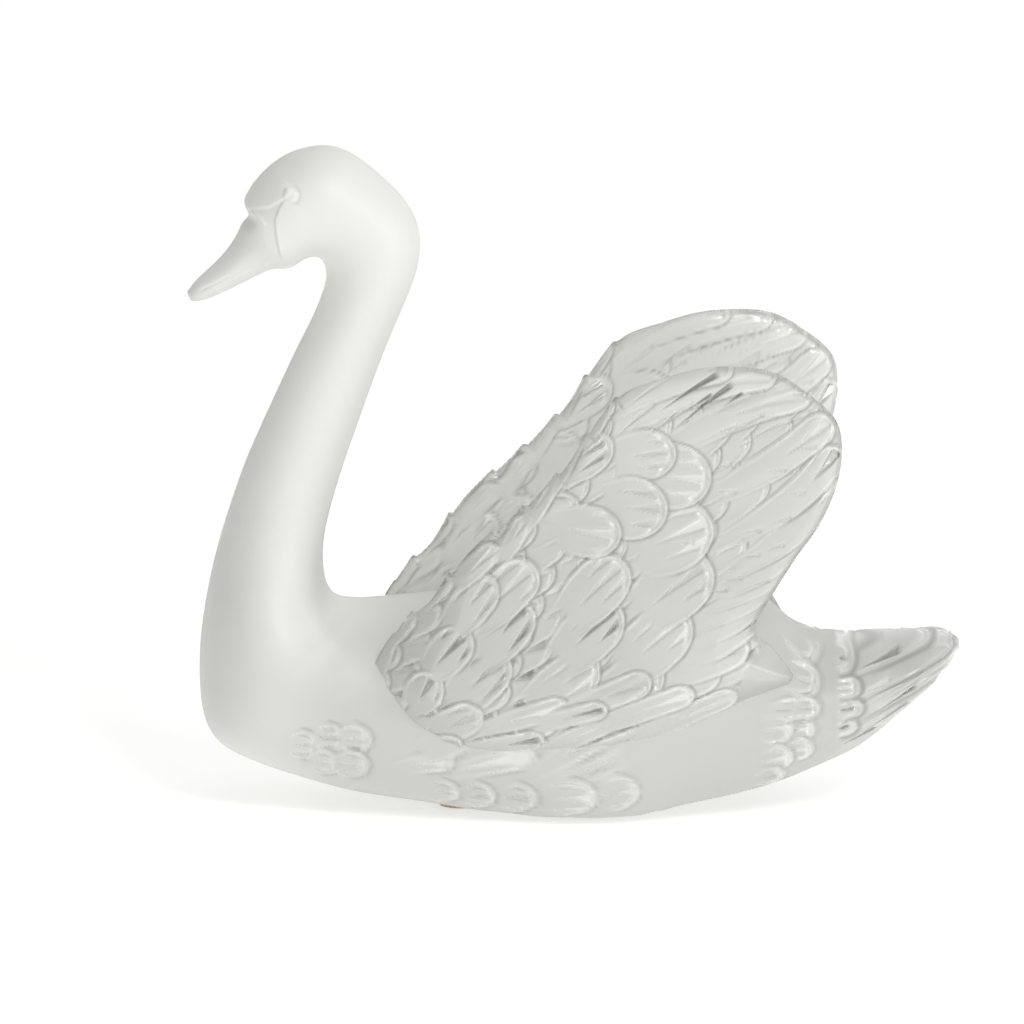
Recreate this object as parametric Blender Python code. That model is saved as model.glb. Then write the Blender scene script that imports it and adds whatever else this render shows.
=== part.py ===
"""Crystal swan figurine: hull, neck and head, two raised wings, tail fan and four resting pads.

The head points to -X, the tail to +X and the swan's left side to -Y. The origin is on the resting surface, under the
middle of the whole swan. Sizes are in millimetres and become metres where points are made.
"""
import math

import bmesh
import bpy
from mathutils import Vector

MM = 0.001

# Overall sizes. The outlines below are drawn at the drawn sizes and follow the set ones when they change.
LENGTH = 284.5          # bill tip to tail tip
HEIGHT = 245.0          # resting surface to crown
HULL_WIDTH = 126.0      # the hull without its wings, at its widest station
WING_PROUD = 12.0       # how far each wing stands out from the hull there
DRAWN_LENGTH = 284.5
DRAWN_HEIGHT = 245.0

# Bonds and fits
BOND_GAP = 0.3          # clear adhesive between two castings
PAD_THICKNESS = 1.5
PAD_RADIUS = 7.5
PAD_FRONT_X = -42.0
PAD_REAR_X = 27.0
PAD_SIDE_Y = 13.0

# Hull
RING_SEGMENTS = 40
STATION_STEPS = 2       # sections from one station to the next

# Wings
WING_SEAT = 2.0         # how deep each wing is let into the hull at its widest
WING_TOP_THICKNESS = 7.0
WING_LEAN = 0.18        # how far the wing leans in for each millimetre it rises
WING_FRONT_TUCK = 15.0  # how much nearer the middle the leading end is than the widest place
WING_REAR_FLARE = 14.0  # how far the upper rear edge flares outwards
WING_LOW_TUCK = 6.0     # how far the lower edge sinks towards the flank
WING_LOBE_TUCK = 45.0   # how steeply the pointed rear lobe turns in towards the hull
WING_LOBE_RISE = 0.35   # the share of the wing's height, from its widest place, over which the lobe does so
WING_LOW_Z = 48.0       # height where the wing is widest
WING_TOP_Z = 173.0
WING_WIDEST_X = 20.0
WING_REACH = 90.0       # from the widest place to either end
WING_CENTRE = (16.0, 88.0)
WING_SEGMENTS = 56
WING_SCALES = (0.14, 0.36, 0.56, 0.72, 0.84, 0.92, 0.97, 0.993)
WING_ROUND_START = 0.70

# Where each wing's outline runs, seen from the side: (x, z), starting at the leading end and going over the top.
WING_OUTLINE = (
    (-75, 50), (-70, 66), (-61, 78), (-52, 86), (-40, 102), (-20, 119), (-3, 136), (8, 152), (19, 163),
    (32, 168), (46, 172), (60, 173), (74, 171), (87, 163), (96, 154), (98, 143), (96, 130), (90, 116),
    (81, 103), (73, 90), (66, 75), (73, 67), (81, 52.5), (74, 48), (60, 43), (34, 35), (8, 28), (-18, 24),
    (-44, 24), (-65, 33),
)

# The hull, from bill tip to tail tip. Each station is one section: its upper or rear point, its lower or front point,
# its half width as a share of the hull's greatest one, and its squareness (2 is an ellipse).
BILL_AND_HEAD = (
    ((-142.3, 190.6), (-141.3, 186.6), 0.040, 2.0),
    ((-138.4, 195.2), (-136.0, 187.2), 0.095, 2.0),
    ((-131.6, 201.4), (-129.3, 190.0), 0.130, 2.0),
    ((-126.6, 207.3), (-123.0, 193.2), 0.155, 2.0),
    ((-123.3, 213.0), (-117.5, 196.0), 0.185, 2.0),
    ((-121.0, 219.8), (-111.5, 198.9), 0.235, 2.0),
    ((-120.2, 226.7), (-107.3, 199.3), 0.285, 2.1),
    ((-116.6, 232.4), (-103.8, 199.6), 0.315, 2.1),
    ((-108.2, 240.3), (-100.3, 202.0), 0.340, 2.1),
    ((-96.0, 244.7), (-97.4, 203.5), 0.350, 2.1),
    ((-83.5, 243.3), (-95.2, 203.8), 0.345, 2.1),
    ((-69.4, 232.5), (-93.2, 203.0), 0.325, 2.0),
    ((-59.9, 221.9), (-91.7, 200.6), 0.305, 2.0),
)
NECK = (
    ((-56.1, 209.9), (-91.0, 196.0), 0.290, 2.0),
    ((-57.9, 197.5), (-92.8, 189.0), 0.285, 2.0),
    ((-62.2, 186.0), (-96.4, 180.2), 0.282, 2.0),
    ((-68.1, 172.2), (-101.9, 169.2), 0.284, 2.0),
    ((-74.3, 155.6), (-108.4, 155.2), 0.292, 2.0),
    ((-79.7, 140.2), (-114.7, 141.2), 0.306, 2.0),
    ((-84.4, 126.5), (-120.5, 127.8), 0.328, 2.0),
    ((-88.3, 113.8), (-125.5, 113.8), 0.360, 2.0),
    ((-91.4, 101.4), (-129.8, 100.1), 0.402, 2.0),
    ((-92.4, 91.0), (-133.2, 87.2), 0.460, 2.0),
)
NECK_BOND = ((-91.2, 81.2), (-135.9, 73.4), 0.540, 2.0)
BREAST_AND_BACK = (
    ((-88.2, 75.8), (-137.9, 58.5), 0.615, 2.0),
    ((-84.6, 73.6), (-138.0, 43.0), 0.675, 2.1),
    ((-80.6, 73.1), (-136.4, 31.0), 0.715, 2.2),
    ((-76.0, 73.0), (-131.0, 22.0), 0.745, 2.2),
    ((-70.0, 73.3), (-119.0, 16.0), 0.775, 2.3),
    ((-62.0, 74.0), (-102.0, 10.2), 0.810, 2.3),
    ((-52.0, 75.0), (-80.0, 4.6), 0.860, 2.4),
    ((-38.0, 76.0), (-55.0, 1.6), 0.920, 2.5),
    ((-20.0, 76.5), (-28.0, -2.4), 0.970, 2.6),
    ((0.0, 76.3), (-2.0, -5.8), 1.000, 2.7),
    ((20.0, 75.0), (20.0, -4.6), 0.985, 2.7),
    ((38.0, 72.0), (38.0, 0.4), 0.935, 2.6),
    ((56.0, 67.0), (56.0, 3.4), 0.855, 2.4),
    ((74.0, 62.4), (74.0, 7.8), 0.765, 2.3),
    ((86.0, 61.4), (86.0, 12.4), 0.705, 2.2),
)
TAIL_BOND = ((96.0, 61.0), (96.0, 16.8), 0.670, 2.2)
TAIL = (
    ((106.0, 60.8), (106.0, 22.2), 0.650, 2.2),
    ((116.0, 61.0), (116.0, 30.6), 0.600, 2.2),
    ((125.0, 61.6), (125.4, 38.8), 0.530, 2.1),
    ((132.5, 62.0), (133.2, 46.0), 0.430, 2.1),
    ((138.0, 61.4), (138.8, 51.6), 0.300, 2.0),
    ((141.6, 60.0), (142.0, 56.6), 0.150, 2.0),
)


def clear_scene():
    for old in list(bpy.data.objects):
        bpy.data.objects.remove(old, do_unlink=True)


def glass(name, colour, roughness):
    material = bpy.data.materials.new(name)
    material.use_nodes = True
    shader = material.node_tree.nodes["Principled BSDF"]
    shader.inputs["Base Color"].default_value = (*colour, 1.0)
    shader.inputs["Roughness"].default_value = roughness
    shader.inputs["Metallic"].default_value = 0.0
    shader.inputs["IOR"].default_value = 1.54
    shader.inputs["Transmission Weight"].default_value = 0.6
    return material


def pad_material():
    material = bpy.data.materials.new("tan_cork")
    material.use_nodes = True
    shader = material.node_tree.nodes["Principled BSDF"]
    shader.inputs["Base Color"].default_value = (0.42, 0.27, 0.14, 1.0)
    shader.inputs["Roughness"].default_value = 0.9
    shader.inputs["Metallic"].default_value = 0.0
    return material


def scaled(point):
    """A drawn (x, z) point at the swan's set length and height."""
    return (point[0] * LENGTH / DRAWN_LENGTH, point[1] * HEIGHT / DRAWN_HEIGHT)


def foot_level():
    return PAD_THICKNESS + BOND_GAP


def curve_between(before, start, end, after, share):
    """A smooth value between start and end that also heeds the value on each side of them."""
    slope_start = (end - before) / 2.0
    slope_end = (after - start) / 2.0
    square = share * share
    cube = square * share
    return (
        (2 * cube - 3 * square + 1) * start
        + (cube - 2 * square + share) * slope_start
        + (3 * square - 2 * cube) * end
        + (cube - square) * slope_end
    )


def station_numbers(station):
    upper, lower, share, squareness = station
    upper = scaled(upper)
    lower = scaled(lower)
    half_width = share * HULL_WIDTH / 2.0
    return (upper[0], upper[1], lower[0], lower[1], half_width, squareness)


def refined(stations, steps):
    """The stations with smooth ones added, so that each span between two of them has this many steps."""
    rows = [station_numbers(station) for station in stations]
    out = []
    for index in range(len(rows) - 1):
        before = rows[max(index - 1, 0)]
        start = rows[index]
        end = rows[index + 1]
        after = rows[min(index + 2, len(rows) - 1)]
        for step in range(steps):
            share = step / steps
            out.append([curve_between(*values, share) for values in zip(before, start, end, after)])
    out.append(list(rows[-1]))
    return out


def section_point(row, angle, grow):
    """One point of a section; grow makes the section larger all round by that many millimetres."""
    upper = Vector((row[0], 0.0, row[1]))
    lower = Vector((row[2], 0.0, row[3]))
    middle = (upper + lower) / 2.0
    axis = (upper - lower) / 2.0
    reach = axis.length
    power = 2.0 / row[5]
    along = math.copysign(abs(math.cos(angle)) ** power, math.cos(angle)) * (reach + grow)
    across = math.copysign(abs(math.sin(angle)) ** power, math.sin(angle)) * (row[4] + grow)
    return (middle + axis.normalized() * along + Vector((0.0, across, 0.0))) * MM


def section_ring(row, grow, shift=Vector((0.0, 0.0, 0.0))):
    angles = [math.tau * step / RING_SEGMENTS for step in range(RING_SEGMENTS)]
    return [section_point(row, angle, grow) + shift * MM for angle in angles]


def skin(rings):
    """A closed bmesh: a capped circle moved onto the first ring, extruded from ring to ring and capped at the end."""
    mesh = bmesh.new()
    made = bmesh.ops.create_circle(mesh, cap_ends=True, segments=len(rings[0]), radius=1.0)
    verts = list(made["verts"])
    for vert, place in zip(verts, rings[0]):
        vert.co = place
    edges = [edge for edge in mesh.edges if edge.is_boundary]
    for ring in rings[1:]:
        grown = bmesh.ops.extrude_edge_only(mesh, edges=edges)["geom"]
        fresh = {item for item in grown if isinstance(item, bmesh.types.BMVert)}
        verts = [next(end for end in neighbours(vert) if end in fresh) for vert in verts]
        for vert, place in zip(verts, ring):
            vert.co = place
        edges = [edge for edge in mesh.edges if edge.is_boundary]
    bmesh.ops.holes_fill(mesh, edges=edges, sides=0)
    bmesh.ops.recalc_face_normals(mesh, faces=mesh.faces)
    return mesh


def neighbours(vert):
    return [edge.other_vert(vert) for edge in vert.link_edges]


def to_object(name, mesh, material, sharp_degrees=35.0):
    data = bpy.data.meshes.new(name)
    mesh.to_mesh(data)
    mesh.free()
    data.materials.append(material)
    data.shade_smooth()
    data.set_sharp_from_angle(angle=math.radians(sharp_degrees))
    made = bpy.data.objects.new(name, data)
    bpy.context.scene.collection.objects.link(made)
    return made


def cut_flat_foot(mesh):
    """Grinds the belly flat at the level where the pads start."""
    everything = mesh.verts[:] + mesh.edges[:] + mesh.faces[:]
    cut = bmesh.ops.bisect_plane(
        mesh,
        geom=everything,
        dist=0.00001,
        plane_co=(0.0, 0.0, foot_level() * MM),
        plane_no=(0.0, 0.0, 1.0),
        clear_inner=True,
    )
    rim = [item for item in cut["geom_cut"] if isinstance(item, bmesh.types.BMEdge)]
    bmesh.ops.holes_fill(mesh, edges=rim, sides=0)
    bmesh.ops.recalc_face_normals(mesh, faces=mesh.faces)


def chain_parts():
    """The one smooth chain of sections, cut into head and neck, hull, and tail at the two bonds."""
    stations = BILL_AND_HEAD + NECK + (NECK_BOND,) + BREAST_AND_BACK + (TAIL_BOND,) + TAIL
    neck_end = len(BILL_AND_HEAD) + len(NECK)
    hull_end = neck_end + 1 + len(BREAST_AND_BACK)
    steps = STATION_STEPS
    rows = refined(stations, steps)
    return rows[: neck_end * steps + 1], rows[neck_end * steps: hull_end * steps + 1], rows[hull_end * steps:]


def bond_normal(row):
    """The direction along the hull, from head to tail, square to a section."""
    down = Vector((row[2] - row[0], 0.0, row[3] - row[1])).normalized()
    return Vector((-down.z, 0.0, down.x))


def rings_with_gap(rows, first_bonded, last_bonded):
    """The rows' rings, with a bonded end drawn back by half of the gap."""
    rings = [section_ring(row, 0.0) for row in rows]
    if first_bonded:
        rings[0] = section_ring(rows[0], 0.0, bond_normal(rows[0]) * BOND_GAP / 2.0)
    if last_bonded:
        rings[-1] = section_ring(rows[-1], 0.0, bond_normal(rows[-1]) * -BOND_GAP / 2.0)
    return rings


def outline_points():
    """The wing's outline as WING_SEGMENTS points (x, z), evenly shared out along a smooth closed curve."""
    corners = [scaled(point) for point in WING_OUTLINE]
    count = len(corners)
    fine = []
    for index in range(count):
        before, start, end, after = (corners[(index + offset) % count] for offset in (-1, 0, 1, 2))
        for step in range(8):
            fine.append(
                tuple(curve_between(before[axis], start[axis], end[axis], after[axis], step / 8) for axis in (0, 1))
            )
    lengths = [math.dist(fine[index], fine[(index + 1) % len(fine)]) for index in range(len(fine))]
    total = sum(lengths)
    points = []
    travelled = 0.0
    for point, length in zip(fine, lengths):
        while len(points) < WING_SEGMENTS and travelled >= total * len(points) / WING_SEGMENTS - 1e-6:
            points.append(point)
        travelled += length
    while len(points) < WING_SEGMENTS:
        points.append(fine[-1])
    return points


def wing_outer_y(x, z):
    """How far from the middle the wing's outer face is."""
    widest_x = scaled((WING_WIDEST_X, 0))[0]
    reach = scaled((WING_REACH, 0))[0]
    low = scaled((0, WING_LOW_Z))[1]
    rise = (z - low) / scaled((0, WING_TOP_Z - WING_LOW_Z))[1]
    away = (x - widest_x) / reach
    y = HULL_WIDTH / 2.0 + WING_PROUD - WING_LEAN * max(z - low, 0.0)
    if away < 0.0:
        return y - WING_FRONT_TUCK * (0.3 * -away + 0.7 * away * away)
    lobe = min(max((WING_LOBE_RISE - rise) / WING_LOBE_RISE, 0.0), 1.0)
    return y + away * away * (WING_REAR_FLARE * (1.6 * rise - 0.6) - WING_LOBE_TUCK * lobe)


def wing_thickness(z):
    low = scaled((0, WING_LOW_Z))[1]
    top = scaled((0, WING_TOP_Z))[1]
    share = min(max((z - low) / (top - low), 0.0), 1.0)
    low_thickness = WING_PROUD + WING_SEAT
    return low_thickness + (WING_TOP_THICKNESS - low_thickness) * share


def wing_ring(scale, face, side):
    """One ring round a wing's face: face is +1 outside, -1 inside and 0 on the rim; side is the sign of Y."""
    centre = scaled(WING_CENTRE)
    past_round = max(scale - WING_ROUND_START, 0.0) / (1.0 - WING_ROUND_START)
    fullness = math.sqrt(max(1.0 - past_round * past_round, 0.0))
    tuck_top = scaled((0, 2 * WING_LOW_Z))[1]
    tuck_low = scaled((0, WING_LOW_Z))[1]
    ring = []
    for corner in outline_points():
        x = centre[0] + (corner[0] - centre[0]) * scale
        z = centre[1] + (corner[1] - centre[1]) * scale
        lowness = min(max((tuck_top - z) / (tuck_top - tuck_low), 0.0), 1.0)
        half = wing_thickness(z) / 2.0
        y = wing_outer_y(x, z) - half + face * half * fullness - WING_LOW_TUCK * lowness * past_round
        ring.append(Vector((x, side * y, z)) * MM)
    return ring


def wing_rings(side):
    outer = [wing_ring(scale, 1, side) for scale in WING_SCALES]
    inner = [wing_ring(scale, -1, side) for scale in reversed(WING_SCALES)]
    return outer + [wing_ring(1.0, 0, side)] + inner


def hull_cutter(rows):
    """The hull made larger by the bond gap, which gives a wing its seat. It is not part of the swan."""
    rings = [section_ring(row, BOND_GAP) for row in rows]
    cutter = to_object("hull_cutter", skin(rings), bpy.data.materials["satin_crystal"])
    cutter.hide_render = True
    cutter.display_type = "WIRE"
    return cutter


def make_wing(name, side, material, cutter):
    wing = to_object(name, skin(wing_rings(side)), material)
    seat = wing.modifiers.new("seat on the hull", "BOOLEAN")
    seat.operation = "DIFFERENCE"
    seat.object = cutter
    return wing


def make_pad(name, x, y, material):
    mesh = bmesh.new()
    bmesh.ops.create_cone(
        mesh,
        cap_ends=True,
        segments=24,
        radius1=PAD_RADIUS * MM,
        radius2=PAD_RADIUS * MM,
        depth=PAD_THICKNESS * MM,
    )
    bmesh.ops.translate(mesh, vec=(0.0, 0.0, PAD_THICKNESS * MM / 2.0), verts=mesh.verts)
    pad = to_object(name, mesh, material)
    pad.location = (x * MM, y * MM, 0.0)
    return pad


def make_pads():
    material = pad_material()
    for end, x in (("front", PAD_FRONT_X), ("rear", PAD_REAR_X)):
        for hand, side in (("left", -1), ("right", 1)):
            make_pad(f"pad_{end}_{hand}", scaled((x, 0))[0], side * PAD_SIDE_Y, material)


def main():
    clear_scene()
    satin = glass("satin_crystal", (0.86, 0.86, 0.84), 0.45)
    cut = glass("feather_cut_crystal", (0.80, 0.81, 0.79), 0.15)
    neck_rows, hull_rows, tail_rows = chain_parts()
    to_object("neck_and_head", skin(rings_with_gap(neck_rows, False, True)), satin)
    hull = skin(rings_with_gap(hull_rows, True, True))
    cut_flat_foot(hull)
    to_object("body", hull, satin)
    to_object("tail", skin(rings_with_gap(tail_rows, True, False)), cut)
    cutter = hull_cutter(hull_rows)
    make_wing("wing_left", -1, cut, cutter)
    make_wing("wing_right", 1, cut, cutter)
    make_pads()


main()
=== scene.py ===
"""The crystal swan's looks: satin neck and hull, feather-cut wings and tail, cork pads and a pale studio."""
import math

import bmesh
import bpy
import numpy as np
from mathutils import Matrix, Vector
from mathutils.bvhtree import BVHTree


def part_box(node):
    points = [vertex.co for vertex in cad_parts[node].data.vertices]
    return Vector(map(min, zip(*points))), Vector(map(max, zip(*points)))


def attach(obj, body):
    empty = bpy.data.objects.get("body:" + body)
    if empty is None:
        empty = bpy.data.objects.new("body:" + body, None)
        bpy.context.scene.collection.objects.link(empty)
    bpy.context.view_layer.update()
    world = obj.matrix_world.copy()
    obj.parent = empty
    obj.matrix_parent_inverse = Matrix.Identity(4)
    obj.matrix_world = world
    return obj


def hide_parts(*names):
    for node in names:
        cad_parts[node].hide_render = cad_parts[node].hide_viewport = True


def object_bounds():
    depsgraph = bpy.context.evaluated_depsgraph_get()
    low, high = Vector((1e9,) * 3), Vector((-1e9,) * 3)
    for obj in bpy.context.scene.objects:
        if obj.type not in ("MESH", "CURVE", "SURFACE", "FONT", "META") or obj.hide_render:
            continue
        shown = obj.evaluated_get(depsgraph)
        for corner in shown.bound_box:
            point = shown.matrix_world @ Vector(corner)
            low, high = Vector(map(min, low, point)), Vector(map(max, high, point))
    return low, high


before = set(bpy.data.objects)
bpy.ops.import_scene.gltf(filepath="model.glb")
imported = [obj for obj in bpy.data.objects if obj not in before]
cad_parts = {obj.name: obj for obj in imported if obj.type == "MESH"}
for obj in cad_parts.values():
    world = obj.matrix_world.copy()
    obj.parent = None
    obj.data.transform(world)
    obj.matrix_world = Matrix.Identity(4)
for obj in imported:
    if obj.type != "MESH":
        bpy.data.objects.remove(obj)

MM = 0.001
CAD_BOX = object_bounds()

# The outlines below are drawn in millimetres on a swan of this length and height, and follow the frame's.
DRAWN_LENGTH = 284.3
DRAWN_HEIGHT = 244.95
LONG = (CAD_BOX[1].x - CAD_BOX[0].x) / MM / DRAWN_LENGTH
TALL = (CAD_BOX[1].z - CAD_BOX[0].z) / MM / DRAWN_HEIGHT

# Wings: how thick they are, how far they lean in, and how they bend in towards the front, rear and foot
WING_HALF_SPAN = -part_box("wing_left")[0].y / MM + 0.5
WING_PROUD = WING_HALF_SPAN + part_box("body")[0].y / MM
WING_SEAT = 2.0
WING_TOP_THICKNESS = 7.0
WING_LEAN = 0.18
WING_FRONT_TUCK = 15.0
WING_REAR_FLARE = 14.0
WING_LOW_TUCK = 6.0
WING_RIM_SINK = 3.0
WING_LOBE_TUCK = 45.0
WING_LOBE_RISE = 0.35
WING_LOW_Z = 48.0
WING_TOP_Z = 173.0
WING_WIDEST_X = 20.0
WING_REACH = 90.0
WING_OUTER_GRID = (284, 240)
WING_INNER_GRID = (150, 128)
RIM_STRIP = 0.006        # how much narrower than the outer grid the inner one is, for the rim between them
PATCH_BLUR = 0.08        # how far, in shares of the wing, its inner points are averaged
RIM_TEETH = 1.5          # how far feather tips stand out of the wing's outline
RIM_TOOTH_GAP = 30.0     # tips farther apart than this along the rim have no tooth between them
RIM_TIP_REACH = 8.0      # a feather whose tip is this near the rim gives it a tooth
RIM_FADE = 9.0
WING_FREE_Z = 96.0       # above this the rim is a free rounded edge
WING_FREE_RANGE = 48.0   # the height over which it turns into that from a foot bonded to the hull
WING_OUTLINE = (
    (-75, 50), (-70, 66), (-61, 78), (-52, 86), (-40, 102), (-20, 119), (-3, 136), (8, 152), (19, 163),
    (32, 168), (46, 172), (60, 173), (74, 171), (87, 163), (96, 154), (98, 143), (96, 130), (90, 116),
    (81, 103), (73, 90), (66, 75), (73, 67), (81, 52.5), (74, 48), (60, 43), (34, 35), (8, 28), (-18, 24),
    (-44, 24), (-65, 33),
)
WING_CORNERS = (29, 8, 14, 22)   # where the outline's four sides meet: low front, wrist, upper rear, lobe tip

BOND_REACH = 0.33        # a point this near the neighbour's face is on a bond
FOOT_TOP = 2.5           # edges below this are the flat foot's

# Feathers, each as (tip x, tip z, heading in degrees from +X up, length, width, bend).
PRIMARIES = (
    (64, 70, 20, 40, 12, 4), (68, 81, 34, 36, 12, 6), (73, 91, 40, 38, 12, 8), (79, 101, 46, 42, 12, 12),
    (86, 111, 50, 46, 12, 15), (91, 121, 56, 50, 12, 18), (96, 133, 60, 54, 12, 20),
    (97, 145, 58, 56, 12, 20), (94, 156, 46, 58, 12, 14), (87, 165, 12, 66, 12, -14),
    (74, 171, 6, 64, 11, -16), (58, 173, 8, 50, 10, -12),
)
GREAT_COVERTS = (
    (31, 66, 38, 34, 20, 0), (41, 84, 42, 36, 22, 0), (49, 103, 38, 36, 24, 0), (50, 118, 24, 36, 26, 0),
    (50, 132, -6, 30, 24, 0), (37, 142, 4, 26, 18, 0),
)
MIDDLE_COVERTS = (
    (8, 67, 36, 34, 18, 0), (16, 87, 44, 34, 20, 0), (18, 103, 46, 34, 20, 0), (34, 121, -4, 28, 23, 0),
    (13, 147, 34, 26, 16, 0),
)
SMALL_COVERTS = (
    (-25, 68, 44, 32, 18, 0), (-17, 87, 50, 32, 18, 0), (-15, 101, 46, 34, 17, 0), (2, 122, 8, 16, 13, 0),
    (17, 112, -6, 28, 19, 0),
)
SHOULDER_COVERTS = (
    (-34, 47, 30, 24, 14, 0), (-51, 60, 60, 18, 14, 0), (-39, 76, 48, 24, 15, 0), (-30, 96, 52, 28, 15, 0),
)
LONG_SIDE_FEATHERS = (
    (28, 38, 20, 44, 9, -4), (60, 51, 18, 48, 10, -4), (-11, 36, 10, 40, 9, -3), (18, 46, 26, 40, 9, -3),
    (44, 54, 16, 44, 10, -3), (-2, 50, 14, 38, 9, -3), (28, 60, 20, 42, 10, -3), (-41, 33, 6, 26, 8, -2),
    (12, 49, 12, 30, 8, -2),
)
LEADING_EDGE_FEATHERS = (
    (-68, 73, 74, 20, 8, 0), (-59, 81, 50, 20, 8, 0), (-46, 95, 46, 24, 8, 0), (-28, 107, 44, 24, 8, 0),
    (-17, 118, 58, 22, 7, 0), (-7, 133, 60, 24, 7, 0), (2, 149, 64, 26, 7, 0), (13, 162, 58, 24, 8, 0),
)


HULL_SCALES = (
    (-42, 12, 0, 13, 12, 0), (-29, 11, 0, 13, 13, 0), (-13.5, 11, 0, 15, 14, 0), (8.5, 12, 0, 20, 16, 0),
    (24, 15, 8, 16, 16, 0),
    (-93.5, 29.5, 0, 13, 12, 0), (-84, 33, 0, 13, 11, 0), (-86, 22, -4, 13, 11, 0), (-74.5, 33, 0, 13, 12, 0),
    (-75.5, 22, -4, 14, 12, 0),
    (88.5, 35, 0, 12, 11, 0), (88, 27, 0, 12, 10, 0), (80.5, 36, 0, 13, 13, 0), (80.5, 24.5, 6, 13, 12, 0),
    (77.5, 17, 12, 13, 9, 0), (86, 43, 0, 16, 8, 0),
    (90.5, 60, -16, 16, 12, 0), (90, 51, -6, 13, 10, 0), (80, 66, -34, 20, 14, 0), (90, 43, 0, 11, 8, 0),
    (71, 78, -42, 18, 10, 0), (88, 69, -26, 16, 7, 0),
)
TAIL_FEATHERS = (
    (114, 27, 24, 40, 9, 1), (127, 37, 33, 52, 8, 3), (135, 45, 34, 60, 7, 4), (140, 52, 32, 62, 6.5, 4),
    (142, 58.5, 27, 58, 6.5, 2), (140, 63, 21, 52, 7, 0), (133, 66, 15, 46, 8, -2), (122, 68, 9, 36, 8, -3),
)
TAIL_ROOT_FEATHERS = (
    (104, 36, 14, 14, 7, 0), (106, 43, 10, 14, 7, 0), (105, 50, 6, 14, 7, 0), (103, 58, 0, 14, 8, 0),
)
TAIL_CUTS = (
    (137, 57, 28, 30, 2.6, 0), (127, 49, 29, 26, 2.6, 0), (133, 63, 20, 24, 2.4, 0),
    (121, 60, 17, 22, 2.4, 0), (117, 52, 22, 16, 2.6, 0), (124, 43, 31, 24, 2.4, 0),
    (131, 52, 30, 18, 2.2, 0), (112, 34, 27, 20, 2.2, 0), (127, 66, 12, 20, 2.0, 0),
)

# How each kind of feather is cut: number of wedges, lift, roundness, collar width, and where wedges start.
UNDER_STYLE = (2, 0.6, 0.4, 1.2, 0.6)
HULL_STYLE = (3, 0.35, 0.3, 2.2, 0.15)
TAIL_STYLE = (1, 1.1, 0.8, 1.0, 0.7)
WING_GROUPS = (
    (PRIMARIES, (2, 1.7, 0.95, 0.8, 0.66)),
    (GREAT_COVERTS, (4, 1.5, 0.5, 2.0, 0.42)),
    (MIDDLE_COVERTS, (4, 1.5, 0.5, 2.0, 0.42)),
    (SMALL_COVERTS, (3, 1.5, 0.5, 1.9, 0.42)),
    (SHOULDER_COVERTS, (3, 1.3, 0.5, 1.7, 0.4)),
    (LONG_SIDE_FEATHERS, (2, 1.3, 0.6, 1.3, 0.5)),
    (LEADING_EDGE_FEATHERS, (2, 1.5, 0.6, 1.2, 0.45)),
)
RUN_ON_STYLE = (1, 0.4, 0.3, 2.2, 0.35)
# Small cuts on the primaries, long grooves between them, and the dark streaks of the left wing's outer face,
# shallow cuts whose grey is a painted reflection of the room's dark side.
PRIMARY_NICKS = tuple((x, z, heading, 9.5, 2.4, 0) for x, z, heading in (
    (86, 163.5, -3), (75, 155, -3), (89.5, 145, 5), (78, 136, 0), (60, 127.5, -6), (85, 128, 0),
    (80, 118.5, 12), (77.5, 109, 14), (69, 114, 6), (68.5, 105.5, 12), (72, 95.5, 12), (56.5, 92.5, 10),
    (62, 97, 10), (44.5, 109.5, 0), (66, 146, 14), (58, 138, 16), (50, 160, 24), (70, 165, 6),
    (42, 154, 28), (60, 152, 18),
))
PRIMARY_GROOVES = (
    (36, 170, 32, 24, 2.6, -1.5), (46, 176, 22, 28, 2.8, -2), (62, 177, 6, 26, 2.6, -3),
    (30, 160, 38, 22, 2.4, -1), (74, 175, 0, 30, 2.6, -6), (82, 167, 10, 34, 2.6, -6),
    (44, 160, 34, 26, 2.6, 0), (88, 158, 20, 34, 2.6, -4), (66, 164, 28, 22, 2.4, 0),
    (70, 157, 30, 24, 2.4, 0),
)
PRIMARY_STREAKS = (
    (53.5, 171, 30, 30, 3.0, -1.5), (58.5, 167.5, 36, 31, 3.0, -1.5), (51, 163.5, 33, 15, 2.2, 0),
    (62, 164, 34, 12, 2.0, 0),
)
TOOTHED_GROUPS = (LONG_SIDE_FEATHERS, SHOULDER_COVERTS, LEADING_EDGE_FEATHERS)
FINE_EDGE = 0.4          # how wide a feather's edge is on the wings
COARSE_EDGE = 0.8        # and on the hull and tail, whose faces are larger

# Wedges cut into the long feathers, each as a depth, how clear it is, and how much painted shade or painted
# dark reflection greys it.
NICK_CUT = (0.6, 0.3, 0.25)
GROOVE_CUT = (0.9, 0.0, 0.3)
STREAK_CUT = (0.9, 0.4, 1.8)
TAIL_SATIN_CUT = (0.6, 0.0, 0.0)
TAIL_CLEAR_CUT = (0.6, 0.9, 0.5)

# The plain faceted lobe at the rear foot of each wing, and the back
LOBE_TIP = (81, 52.5)
LOBE_RIDGE = ((52, 68), (64, 63), (82, 52))
LOBE_RADIUS = 24.0
LOBE_BLEND = 6.0
RUMP = (64.0, 14.0, 13.0)  # where the back rises again between the wings: middle, reach and rise

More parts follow.
